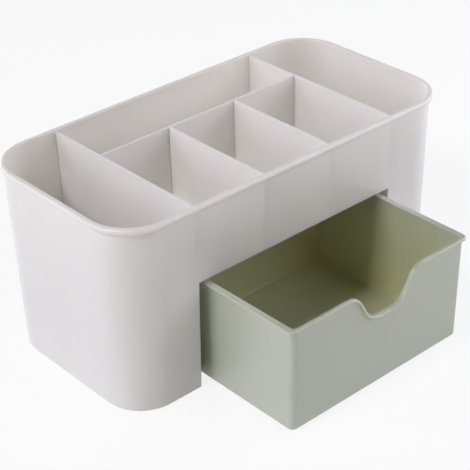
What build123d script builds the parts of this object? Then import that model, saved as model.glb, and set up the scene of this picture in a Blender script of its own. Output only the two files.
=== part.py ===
from build123d import *
import math
import os

# A desk organizer: a drafted tub with a rim bead, an inner bay that roofs the
# drawer and parts off the two deep end pockets, three dividers plugged into the
# deck of the bay, and a drawer with a lip all round and a finger scoop.
# Millimetres, +Z up, +X to the right, +Y to the back.
# The origin is the middle of the underside of the tub.

# Tub
overall_length = 220.0  # over the rim bead
overall_width = 112.0  # over the rim bead
overall_height = 104.0
rim_corner_radius = 25.5  # over the rim bead
shell_draft = 1.5  # degrees, every side leans out towards the rim
shell_wall = 1.6
floor_thickness = 1.2
rim_overhang = 1.4  # bead outside the wall
rim_band_height = 3.2
rim_top_round = 1.2
rim_under_round = 1.0
rim_inner_round = 0.5
base_round = 0.8
pocket_floor_round = 2.0

# Drawer opening in the front wall, open down to the underside
opening_width = 130.0
opening_height = 61.8
floor_setback = 10.0  # front edge of the floor in the opening, behind the inside of the wall

# Bay: two cross walls that stand on the floor, and the deck between them
cross_wall = 1.5
deck_thickness = 1.6
insert_fit = 0.05  # between the bay or a divider and the walls beside it
insert_drop = 0.8  # tops of the inner walls below the rim
top_edge_round = 0.4

# Dividers that stand on the deck
divider_thickness = 1.4
long_divider_y = 17.3
front_divider_spacing = 43.8
tab_length = 9.0
tab_inset = 12.0  # from the end of a divider to its tab
tab_fit = 0.15

# Drawer
drawer_wall = 1.4
drawer_floor = 1.4
drawer_side_draft = 0.3  # degrees
drawer_front_draft = 1.3  # degrees, the same at the back
drawer_corner_radius = 3.2
side_lip = 2.3  # outside the wall, at each side
front_lip = 0.9  # outside the wall, at the front and the back
lip_corner_radius = 4.0
lip_height = 1.4
lip_top_round = 0.8
lip_under_round = 0.4
lip_inner_round = 0.4
drawer_base_round = 1.0
drawer_floor_round = 1.6
lip_side_gap = 3.95  # lip to the side of the opening
lip_top_gap = 2.3  # rim to the top of the opening
lip_back_gap = 0.6  # lip to the back wall when shut
running_gap = 0.3  # under the drawer
pulled_out = 57.3  # how far the drawer stands open

# Finger scoop in the drawer front
scoop_offset = 2.6  # middle of the scoop, right of the middle of the drawer
scoop_depth = 17.6
scoop_width = 30.2  # at half its depth
scoop_side_angle = 62.0  # degrees from level
scoop_shoulder_radius = 10.0
scoop_bottom_radius = 13.0
scoop_shoulder_reach = 8.0  # level rim that runs on past each shoulder's corner

# Guides moulded on the floor, one each side of the drawer
guide_height = 4.0
guide_thickness = 1.6
guide_gap = 0.5

# Derived sizes
lean = math.tan(math.radians(shell_draft))
drawer_side_lean = math.tan(math.radians(drawer_side_draft))
drawer_front_lean = math.tan(math.radians(drawer_front_draft))
wall_length = overall_length - 2 * rim_overhang
wall_width = overall_width - 2 * rim_overhang
wall_radius = rim_corner_radius - rim_overhang
insert_top = overall_height - insert_drop
deck_top = opening_height + deck_thickness
bay_half = opening_width / 2
drawer_base_z = floor_thickness + running_gap
drawer_rim_z = opening_height - lip_top_gap
drawer_width = opening_width - 2 * (lip_side_gap + side_lip)


def half_width(z, inset):
    """Half the width of the tub at a height, on a skin that lies inset from its outside."""
    return wall_width / 2 - inset - (overall_height - z) * lean


drawer_front_y = -half_width(drawer_rim_z, 0) - pulled_out
drawer_back_y = half_width(drawer_rim_z, shell_wall) - lip_back_gap - front_lip - pulled_out
drawer_depth = drawer_back_y - drawer_front_y
drawer_mid_y = (drawer_back_y + drawer_front_y) / 2
lip_front_y = drawer_front_y - front_lip
scoop_corner = scoop_width / 2 + scoop_depth / 2 / math.tan(math.radians(scoop_side_angle))
scoop_ends = [scoop_offset + side * (scoop_corner + scoop_shoulder_reach) for side in (-1, 1)]
on_line_tolerance = 0.001


def block(low, high):
    """A plain box between two corners."""
    size = [b - a for a, b in zip(low, high)]
    middle = [(a + b) / 2 for a, b in zip(low, high)]
    return Pos(*middle) * Box(*size)


def side_plate(x_middle, thickness, outline):
    """A plate square to X, from its outline as (y, z) points."""
    points = [(x_middle - thickness / 2, y, z) for y, z in outline]
    return extrude(make_face(Polyline(*points, close=True)), thickness, dir=(1, 0, 0))


def rounded_ends(solid, low_round, high_round):
    """Round the lowest and the highest edges of a solid."""
    solid = fillet(solid.edges().group_by(Axis.Z)[0], low_round)
    if high_round:
        solid = fillet(solid.edges().group_by(Axis.Z)[-1], high_round)
    return solid


def rounded_top(plate, along):
    """Round the two long edges on top of an upright plate."""
    return fillet(plate.edges().group_by(Axis.Z)[-1].filter_by(along), top_edge_round)


def rounded_mouth(solid, radius):
    """Round the inner edge of an open-topped solid's rim."""
    rim_face = solid.faces().filter_by(Plane.XY).sort_by(Axis.Z)[-1]
    return fillet(rim_face.inner_wires()[0].edges(), radius)


def shell_section(z, inset):
    shrink = inset + (overall_height - z) * lean
    outline = RectangleRounded(wall_length - 2 * shrink, wall_width - 2 * shrink, wall_radius - shrink)
    return Pos(0, 0, z) * outline


def shell_block(z_low, z_high, inset):
    """A solid between two heights that follows the drafted walls of the tub."""
    return loft([shell_section(z_low, inset), shell_section(z_high, inset)], ruled=True)


def make_outer_shell():
    body = rounded_ends(shell_block(0, overall_height, 0), base_round, 0)
    bead_outline = RectangleRounded(overall_length, overall_width, rim_corner_radius)
    bead = extrude(Pos(0, 0, overall_height - rim_band_height) * bead_outline, rim_band_height)
    body += rounded_ends(bead, rim_under_round, rim_top_round)
    body -= rounded_ends(shell_block(floor_thickness, overall_height, shell_wall), pocket_floor_round, 0)
    body = rounded_mouth(body, rim_inner_round)

    # The opening goes through the wall and takes a strip off the floor behind it
    floor_front = floor_setback - half_width(0, shell_wall)
    body -= block((-bay_half, -overall_width, -overall_height), (bay_half, floor_front, opening_height))

    guide_x = drawer_width / 2 + guide_gap + guide_thickness / 2
    guide_back = half_width(0, shell_wall) - pocket_floor_round
    for side in (-1, 1):
        body += block(
            (side * guide_x - guide_thickness / 2, floor_front, floor_thickness),
            (side * guide_x + guide_thickness / 2, guide_back, floor_thickness + guide_height),
        )
    return body


def tab_places(start, end):
    """Middles of the two tabs of a divider that runs from start to end."""
    reach = tab_inset + tab_length / 2
    return (start + reach, end - reach)


long_divider_half = bay_half - insert_fit
front_divider_back = long_divider_y - divider_thickness / 2 - insert_fit
front_divider_front = -half_width(deck_top, shell_wall) + insert_fit
long_tabs = tab_places(-long_divider_half, long_divider_half)
front_tabs = tab_places(front_divider_front, front_divider_back)


def long_tab(x, fit):
    return block(
        (x - tab_length / 2 - fit, long_divider_y - divider_thickness / 2 - fit, opening_height),
        (x + tab_length / 2 + fit, long_divider_y + divider_thickness / 2 + fit, deck_top),
    )


def front_tab(x, y, fit):
    return block(
        (x - divider_thickness / 2 - fit, y - tab_length / 2 - fit, opening_height),
        (x + divider_thickness / 2 + fit, y + tab_length / 2 + fit, deck_top),
    )


front_divider_x = {"left": -front_divider_spacing / 2, "right": front_divider_spacing / 2}


def make_drawer_bay():
    foot = floor_thickness
    foot_end = half_width(foot, shell_wall) - insert_fit
    heel_end = half_width(foot + pocket_floor_round, shell_wall) - insert_fit
    top_end = half_width(insert_top, shell_wall) - insert_fit
    outline = [
        (-foot_end + pocket_floor_round, foot),
        (foot_end - pocket_floor_round, foot),
        (heel_end, foot + pocket_floor_round),
        (top_end, insert_top),
        (-top_end, insert_top),
        (-heel_end, foot + pocket_floor_round),
    ]
    deck_end = half_width(opening_height, shell_wall) - insert_fit
    bay = block((-bay_half, -deck_end, opening_height), (bay_half, deck_end, deck_top))
    for side in (-1, 1):
        bay += rounded_top(side_plate(side * (bay_half + cross_wall / 2), cross_wall, outline), Axis.Y)
    for x in long_tabs:
        bay -= long_tab(x, tab_fit)
    for x in front_divider_x.values():
        for y in front_tabs:
            bay -= front_tab(x, y, tab_fit)
    return bay


def make_long_divider():
    plate = block(
        (-long_divider_half, long_divider_y - divider_thickness / 2, deck_top),
        (long_divider_half, long_divider_y + divider_thickness / 2, insert_top),
    )
    plate = rounded_top(plate, Axis.X)
    for x in long_tabs:
        plate += long_tab(x, 0)
    return plate


def make_front_divider(x):
    outline = [
        (front_divider_front, deck_top),
        (front_divider_back, deck_top),
        (front_divider_back, insert_top),
        (-half_width(insert_top, shell_wall) + insert_fit, insert_top),
    ]
    plate = rounded_top(side_plate(x, divider_thickness, outline), Axis.Y)
    for y in front_tabs:
        plate += front_tab(x, y, 0)
    return plate


def drawer_section(z, inset):
    side_shrink = inset + (drawer_rim_z - z) * drawer_side_lean
    front_shrink = inset + (drawer_rim_z - z) * drawer_front_lean
    outline = RectangleRounded(
        drawer_width - 2 * side_shrink, drawer_depth - 2 * front_shrink, drawer_corner_radius - inset
    )
    return Pos(0, drawer_mid_y, z) * outline


def drawer_block(z_low, inset):
    """A solid from a height up to the drawer's rim, following its drafted walls."""
    return loft([drawer_section(z_low, inset), drawer_section(drawer_rim_z, inset)], ruled=True)


def scoop_edge(inset):
    """The line of the rim through the scoop, moved into the wall by inset."""
    slope = math.tan(math.radians(scoop_side_angle))
    shift = inset / math.sin(math.radians(scoop_side_angle))
    half_top = scoop_width / 2 + (scoop_depth / 2 - inset) / slope + shift
    half_bottom = scoop_width / 2 - (scoop_depth / 2 + inset) / slope + shift
    level = drawer_rim_z - inset
    bottom = level - scoop_depth
    points = [(scoop_ends[0], 0, level)]
    points += [(scoop_offset - half_top, 0, level), (scoop_offset - half_bottom, 0, bottom)]
    points += [(scoop_offset + half_bottom, 0, bottom), (scoop_offset + half_top, 0, level)]
    points += [(scoop_ends[1], 0, level)]
    shoulder = scoop_shoulder_radius - inset
    hollow = scoop_bottom_radius + inset
    return FilletPolyline(*points, radius=[shoulder, hollow, hollow, shoulder])


def scoop_cutter():
    """The air of the scoop, through the drawer's front wall and its lip."""
    top = drawer_rim_z + lip_height
    corners = [(scoop_ends[1], 0, drawer_rim_z), (scoop_ends[1], 0, top)]
    corners += [(scoop_ends[0], 0, top), (scoop_ends[0], 0, drawer_rim_z)]
    face = make_face(scoop_edge(0).edges() + Polyline(*corners).edges())
    return extrude(Pos(0, lip_front_y, 0) * face, front_lip + 2 * drawer_wall, dir=(0, 1, 0))


def round_front(band, line, radius):
    """Round the edges of a band's front face that lie on a line."""
    on_line = Pos(0, lip_front_y, 0) * line
    front = band.faces().sort_by(Axis.Y)[0]
    edges = [edge for edge in front.edges() if on_line.distance_to(edge @ 0.5) < on_line_tolerance]
    return fillet(edges, radius)


def make_scoop_lip():
    """The stretch of lip that dips through the scoop."""
    upper = scoop_edge(0)
    lower = scoop_edge(lip_height)
    sides = [Line((x, 0, drawer_rim_z), (x, 0, drawer_rim_z - lip_height)) for x in scoop_ends]
    face = make_face(upper.edges() + lower.edges() + sides)
    band = extrude(Pos(0, lip_front_y, 0) * face, front_lip + drawer_wall / 2, dir=(0, 1, 0))
    band = round_front(band, upper, lip_top_round)
    return round_front(band, lower, lip_under_round)


def make_drawer():
    tub = rounded_ends(drawer_block(drawer_base_z, 0), drawer_base_round, 0)
    lip_outline = RectangleRounded(
        drawer_width + 2 * side_lip, drawer_depth + 2 * front_lip, lip_corner_radius
    )
    lip = extrude(Pos(0, drawer_mid_y, drawer_rim_z - lip_height) * lip_outline, lip_height)
    tub += rounded_ends(lip, lip_under_round, lip_top_round)
    tub -= rounded_ends(drawer_block(drawer_base_z + drawer_floor, drawer_wall), drawer_floor_round, 0)
    tub = rounded_mouth(tub, lip_inner_round)
    tub -= scoop_cutter()
    tub -= block(
        (scoop_ends[0], lip_front_y, drawer_rim_z - lip_height),
        (scoop_ends[1], drawer_front_y, drawer_rim_z),
    )
    return tub + make_scoop_lip()


nodes = {
    "outer_shell": make_outer_shell(),
    "drawer_bay": make_drawer_bay(),
    "long_divider": make_long_divider(),
    "drawer": make_drawer(),
}
for side, x in front_divider_x.items():
    nodes[f"front_divider_{side}"] = make_front_divider(x)

os.makedirs("parts", exist_ok=True)
for name, solid in nodes.items():
    export_step(solid, f"parts/{name}.step")
    print(name, round(solid.volume), solid.is_valid)
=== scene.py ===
import bpy
import bmesh
import math
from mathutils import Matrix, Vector

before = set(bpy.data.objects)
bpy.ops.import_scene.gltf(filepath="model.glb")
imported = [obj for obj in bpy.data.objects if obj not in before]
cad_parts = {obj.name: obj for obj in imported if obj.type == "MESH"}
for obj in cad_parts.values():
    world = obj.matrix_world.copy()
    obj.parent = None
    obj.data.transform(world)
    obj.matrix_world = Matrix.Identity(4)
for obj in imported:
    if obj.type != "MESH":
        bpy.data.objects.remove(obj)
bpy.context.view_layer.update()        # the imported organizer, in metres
scene = bpy.context.scene

# Camera: looks down on the front left corner through a long lens
cameraSet = {
    "place": (-0.42593, -0.49144, 0.43005),
    "turn": (1.02753, 0.02321, -0.73402),
    "lens": 110.28,
    "sensor": 36.0,
}
cameraData = bpy.data.cameras.new("camera")
cameraData.lens = cameraSet["lens"]
cameraData.sensor_width = cameraSet["sensor"]
camera = bpy.data.objects.new("camera", cameraData)
camera.location = cameraSet["place"]
camera.rotation_euler = cameraSet["turn"]
scene.collection.objects.link(camera)
scene.camera = camera
print("camera: lens", cameraSet["lens"])


# A node with plain values on its sockets; an underscore stands for a space
def addNode(tree, kind, place, **inputs):
    node = tree.nodes.new(kind)
    node.location = place
    for name, value in inputs.items():
        node.inputs[name.replace("_", " ")].default_value = value
    return node


# Each value is a number or another node's output
def addMath(tree, place, operation, *values):
    node = addNode(tree, "ShaderNodeMath", place)
    node.operation = operation
    for socket, value in zip(node.inputs, values):
        if isinstance(value, float):
            socket.default_value = value
        else:
            tree.links.new(value, socket)
    return node.outputs["Value"]


def addRange(tree, place, value, fromEnds, toEnds=(0.0, 1.0)):
    node = addNode(tree, "ShaderNodeMapRange", place, From_Min=fromEnds[0], From_Max=fromEnds[1],
                   To_Min=toEnds[0], To_Max=toEnds[1])
    tree.links.new(value, node.inputs["Value"])
    return node.outputs["Result"]


def addNoise(tree, place, where, scale, detail):
    node = addNode(tree, "ShaderNodeTexNoise", place, Scale=scale, Detail=detail)
    tree.links.new(where, node.inputs["Vector"])
    return node.outputs["Fac"]


# Colour mix: sockets 0, 6 and 7 are its share and its two colours, output 2 its result
def addTint(tree, place, share, under, over):
    node = addNode(tree, "ShaderNodeMix", place)
    node.data_type = "RGBA"
    tree.links.new(share, node.inputs[0])
    if isinstance(under, tuple):
        node.inputs[6].default_value = (*under, 1)
    else:
        tree.links.new(under, node.inputs[6])
    node.inputs[7].default_value = (*over, 1)
    return node.outputs[2]


# Painted bounce light: deep inside a piece, where its own walls close it in, the colour is painted fuller and
# paler, standing in for light bounced between the walls
def paintedBounceTint(tree, look, colour):
    clear = addNode(tree, "ShaderNodeAmbientOcclusion", (-600, 450), Distance=look["paintedBounceReach"])
    clear.only_local = True
    clear.samples = look["paintedBounceSamples"]
    deep = addRange(tree, (-200, 450), clear.outputs["AO"], look["paintedBounceRange"])
    return addTint(tree, (0, 300), deep, colour, look["paintedBounceColour"])


# Edge mask, in patches: where the rounded normal leaves the true one; it carries painted shade on edges and
# creases, and their smoother gloss
def edgeShadeAndGlossMask(tree, look, where):
    softNormal = addNode(tree, "ShaderNodeBevel", (-900, -500), Radius=look["edgeWidth"])
    softNormal.samples = look["edgeSamples"]
    trueNormal = addNode(tree, "ShaderNodeNewGeometry", (-900, -700))
    agree = addNode(tree, "ShaderNodeVectorMath", (-700, -600))
    agree.operation = "DOT_PRODUCT"
    tree.links.new(softNormal.outputs["Normal"], agree.inputs[0])
    tree.links.new(trueNormal.outputs["Normal"], agree.inputs[1])
    edge = addRange(tree, (-500, -600), agree.outputs["Value"], look["edgeTurn"])
    patches = addNoise(tree, (-700, -850), where, *look["edgePatchNoise"])
    return addMath(tree, (-300, -700), "MULTIPLY", edge, patches)


# Satin moulded plastic: a little light passes through the thin walls, the mould leaves a fine grain,
# and the edges are smoother and greyed a little by painted shade
def satinPlastic(name, look):
    material = bpy.data.materials.new(name)
    material.use_nodes = True
    tree = material.node_tree
    tree.nodes.clear()
    out = addNode(tree, "ShaderNodeOutputMaterial", (1200, 0))
    shader = addNode(tree, "ShaderNodeBsdfPrincipled", (900, 0),
                     IOR=look["ior"], Specular_IOR_Level=look["sheen"], Subsurface_Weight=look["through"],
                     Subsurface_Radius=look["throughTint"], Subsurface_Scale=look["throughDepth"])
    tree.links.new(shader.outputs["BSDF"], out.inputs["Surface"])
    where = addNode(tree, "ShaderNodeTexCoord", (-900, 0)).outputs["Object"]
    edgeShadeAndGloss = edgeShadeAndGlossMask(tree, look, where)

    # Colour: a faint cloud in the melt, painted bounce light deep inside, painted shade on edges and creases
    cloud = addNoise(tree, (-600, 200), where, *look["cloudNoise"])
    colour = addTint(tree, (-200, 200), cloud, look["colour"], look["cloudColour"])
    if "paintedBounceColour" in look:
        colour = paintedBounceTint(tree, look, colour)
    # Painted shade: edges and creases are greyed
    colour = addTint(tree, (200, 200), edgeShadeAndGloss, colour, look["edgeShadeColour"])
    tree.links.new(colour, shader.inputs["Base Color"])

    # Roughness: drifts over the faces, smoother on the edges
    drift = addNoise(tree, (-600, -50), where, *look["driftNoise"])
    rough = addRange(tree, (-200, -50), drift, (0.0, 1.0), look["rough"])
    smooth = addMath(tree, (200, -50), "MULTIPLY_ADD", edgeShadeAndGloss, -look["edgeShine"], rough)
    tree.links.new(smooth, shader.inputs["Roughness"])

    # Grain of the mould
    grain = addNoise(tree, (-600, -300), where, *look["grainNoise"])
    bump = addNode(tree, "ShaderNodeBump", (200, -300),
                   Strength=look["grainStrength"], Distance=look["grainHeight"])
    tree.links.new(grain, bump.inputs["Height"])
    tree.links.new(bump.outputs["Normal"], shader.inputs["Normal"])
    return material


# Lengths are in metres, and each noise is its scale and its detail
whiteLook = {
    "colour": (0.863, 0.826, 0.796),
    "cloudColour": (0.883, 0.846, 0.815),
    "cloudNoise": (14.0, 3.0),
    "rough": (0.32, 0.44),
    "driftNoise": (30.0, 4.0),
    "ior": 1.49,
    "sheen": 1.0,
    "through": 0.85,                  # share of the light that sinks in
    "throughTint": (1.0, 0.97, 0.85),
    "throughDepth": 0.003,
    "edgeWidth": 0.0006,
    "edgeSamples": 4,
    "edgeTurn": (0.999, 0.93),        # cosine of the turn, from flat to a full edge
    # painted shade on edges and creases
    "edgeShadeColour": (0.73, 0.706, 0.691),
    "edgeShine": 0.03,
    "edgePatchNoise": (160.0, 4.0),
    "grainNoise": (2200.0, 2.0),
    "grainStrength": 0.25,
    "grainHeight": 0.00004,
}
innerPaintedLightLook = {
    **whiteLook,
    # painted light: paler than the tub's white, lifting the pockets' inner faces
    "colour": (0.90, 0.87, 0.839),
    "cloudColour": (0.915, 0.885, 0.855),
    "through": 0.25,                  # more shows dark seams where these pieces butt
}
greenLook = {
    **whiteLook,
    "colour": (0.50, 0.528, 0.446),
    "cloudColour": (0.518, 0.546, 0.461),
    "rough": (0.28, 0.40),
    "ior": 1.62,
    "through": 0.4,
    "throughTint": (1.0, 1.0, 0.6),
    # painted shade on edges and creases
    "edgeShadeColour": (0.38, 0.405, 0.34),
    # painted bounce light: the drawer's inside is painted a fuller, paler olive
    "paintedBounceColour": (0.605, 0.605, 0.378),
    "paintedBounceReach": 0.08,
    "paintedBounceSamples": 8,
    "paintedBounceRange": (0.9, 0.35),       # open share of the view, from clear to fully closed in
}
innerPaintedLightPlastic = satinPlastic("innerPaintedLightPlastic", innerPaintedLightLook)
plastics = {
    "outer_shell": satinPlastic("tubPlastic", whiteLook),
    "drawer": satinPlastic("greenPlastic", greenLook),
}
for nodeName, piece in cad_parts.items():
    piece.data.materials.clear()
    piece.data.materials.append(plastics.get(nodeName, innerPaintedLightPlastic))
print("materials: white and green satin plastic")


# Rays that see the white of the stage: the camera's own, and those that gloss and clear things pass on
def stageRays(tree):
    path = addNode(tree, "ShaderNodeLightPath", (-800, 300))
    passedOn = addMath(tree, (-600, 200), "MAXIMUM", path.outputs["Is Glossy Ray"],
                       path.outputs["Is Transmission Ray"])
    return path.outputs["Is Camera Ray"], passedOn


# Floor: a pale sheet that keeps a faint shadow, as most of what is seen of it is an even white glow
floorSet = {"half": 3.0, "colour": (0.92, 0.92, 0.92, 1), "glow": (1, 1, 1, 1), "glowShare": 0.85}


def makeFloor():
    mesh = bpy.data.meshes.new("floor")
    build = bmesh.new()
    bmesh.ops.create_grid(build, x_segments=1, y_segments=1, size=floorSet["half"])
    build.to_mesh(mesh)
    build.free()
    floor = bpy.data.objects.new("floor", mesh)
    scene.collection.objects.link(floor)
    material = bpy.data.materials.new("paleFloor")
    material.use_nodes = True
    tree = material.node_tree
    tree.nodes.clear()
    out = addNode(tree, "ShaderNodeOutputMaterial", (600, 0))
    mix = addNode(tree, "ShaderNodeMixShader", (400, 0))
    matt = addNode(tree, "ShaderNodeBsdfDiffuse", (0, 100), Color=floorSet["colour"])
    glow = addNode(tree, "ShaderNodeEmission", (0, -100), Color=floorSet["glow"], Strength=1.0)
    seen = addMath(tree, (-400, 300), "MAXIMUM", *stageRays(tree))
    share = addMath(tree, (-200, 300), "MULTIPLY", seen, floorSet["glowShare"])
    tree.links.new(share, mix.inputs["Fac"])
    tree.links.new(matt.outputs["BSDF"], mix.inputs[1])
    tree.links.new(glow.outputs["Emission"], mix.inputs[2])
    tree.links.new(mix.outputs["Shader"], out.inputs["Surface"])
    mesh.materials.append(material)


makeFloor()
print("floor:", 2 * floorSet["half"], "m wide")

# Studio light: a soft key high on the left, broad lamps behind, and weak fills in front and on the right
plainWhite = (1.0, 1.0, 1.0)
coolWhite = (0.985, 0.98, 1.14)
warmWhite = (1.15, 0.97, 0.6)
lampAim = Vector((0.0, -0.02, 0.05))
lampSet = {
    "key": {"around": -90, "up": 48, "away": 2.2, "size": 0.5, "power": 20.4, "colour": plainWhite},
    "leftLow": {"around": -91, "up": 12, "away": 2.2, "size": 0.8, "power": 3.7, "colour": coolWhite},
    "leftBack": {"around": -120, "up": 25, "away": 2.2, "size": 1.3, "power": 10.0, "colour": coolWhite},
    "back": {"around": 180, "up": 4, "away": 2.2, "size": 1.3, "power": 19.5, "colour": plainWhite},
    "backHigh": {"around": 180, "up": 25, "away": 2.2, "size": 1.3, "power": 5.0, "colour": coolWhite},
    "frontLeft": {"around": -24, "up": 29, "away": 2.2, "size": 1.3, "power": 1.2, "colour": warmWhite},
    "front": {"around": 30, "up": 40, "away": 0.75, "size": 0.5, "power": 1.15, "colour": plainWhite},
    "frontRight": {"around": 66, "up": 24, "away": 0.75, "size": 0.5, "power": 2.25, "colour": coolWhite},
}


def makeLamp(name, values):
    data = bpy.data.lights.new(name, "AREA")
    data.shape = "DISK"
    data.size = values["size"]
    data.energy = values["power"]
    data.color = values["colour"]
    around, up = math.radians(values["around"]), math.radians(values["up"])
    toLamp = Vector((math.sin(around) * math.cos(up), -math.cos(around) * math.cos(up), math.sin(up)))
    lamp = bpy.data.objects.new(name, data)
    lamp.location = lampAim + toLamp * values["away"]
    lamp.rotation_euler = toLamp.to_track_quat("Z", "Y").to_euler()
    scene.collection.objects.link(lamp)


for lampName, values in lampSet.items():
    makeLamp(lampName, values)

# World: a white sweep low round the stage, as bright as the far floor, only seen and mirrored, never lighting
sweepSet = {"colour": (0.863, 0.863, 0.863, 1), "fade": (0.35, 0.15)}


def makeWorld():
    world = bpy.data.worlds.new("studio")
    scene.world = world
    world.use_nodes = True
    tree = world.node_tree
    sky = tree.nodes["Background"]
    sky.inputs["Color"].default_value = sweepSet["colour"]
    where = addNode(tree, "ShaderNodeTexCoord", (-1000, -100))
    parts = addNode(tree, "ShaderNodeSeparateXYZ", (-800, -100))
    tree.links.new(where.outputs["Generated"], parts.inputs["Vector"])
    low = addRange(tree, (-600, -100), parts.outputs["Z"], sweepSet["fade"])
    direct, passedOn = stageRays(tree)
    mirrored = addMath(tree, (-400, 100), "MULTIPLY", passedOn, low)
    seen = addMath(tree, (-200, 200), "MAXIMUM", direct, mirrored)
    tree.links.new(seen, sky.inputs["Strength"])


makeWorld()
scene.view_settings.view_transform = "Standard"
print("light:", len(lampSet), "lamps")
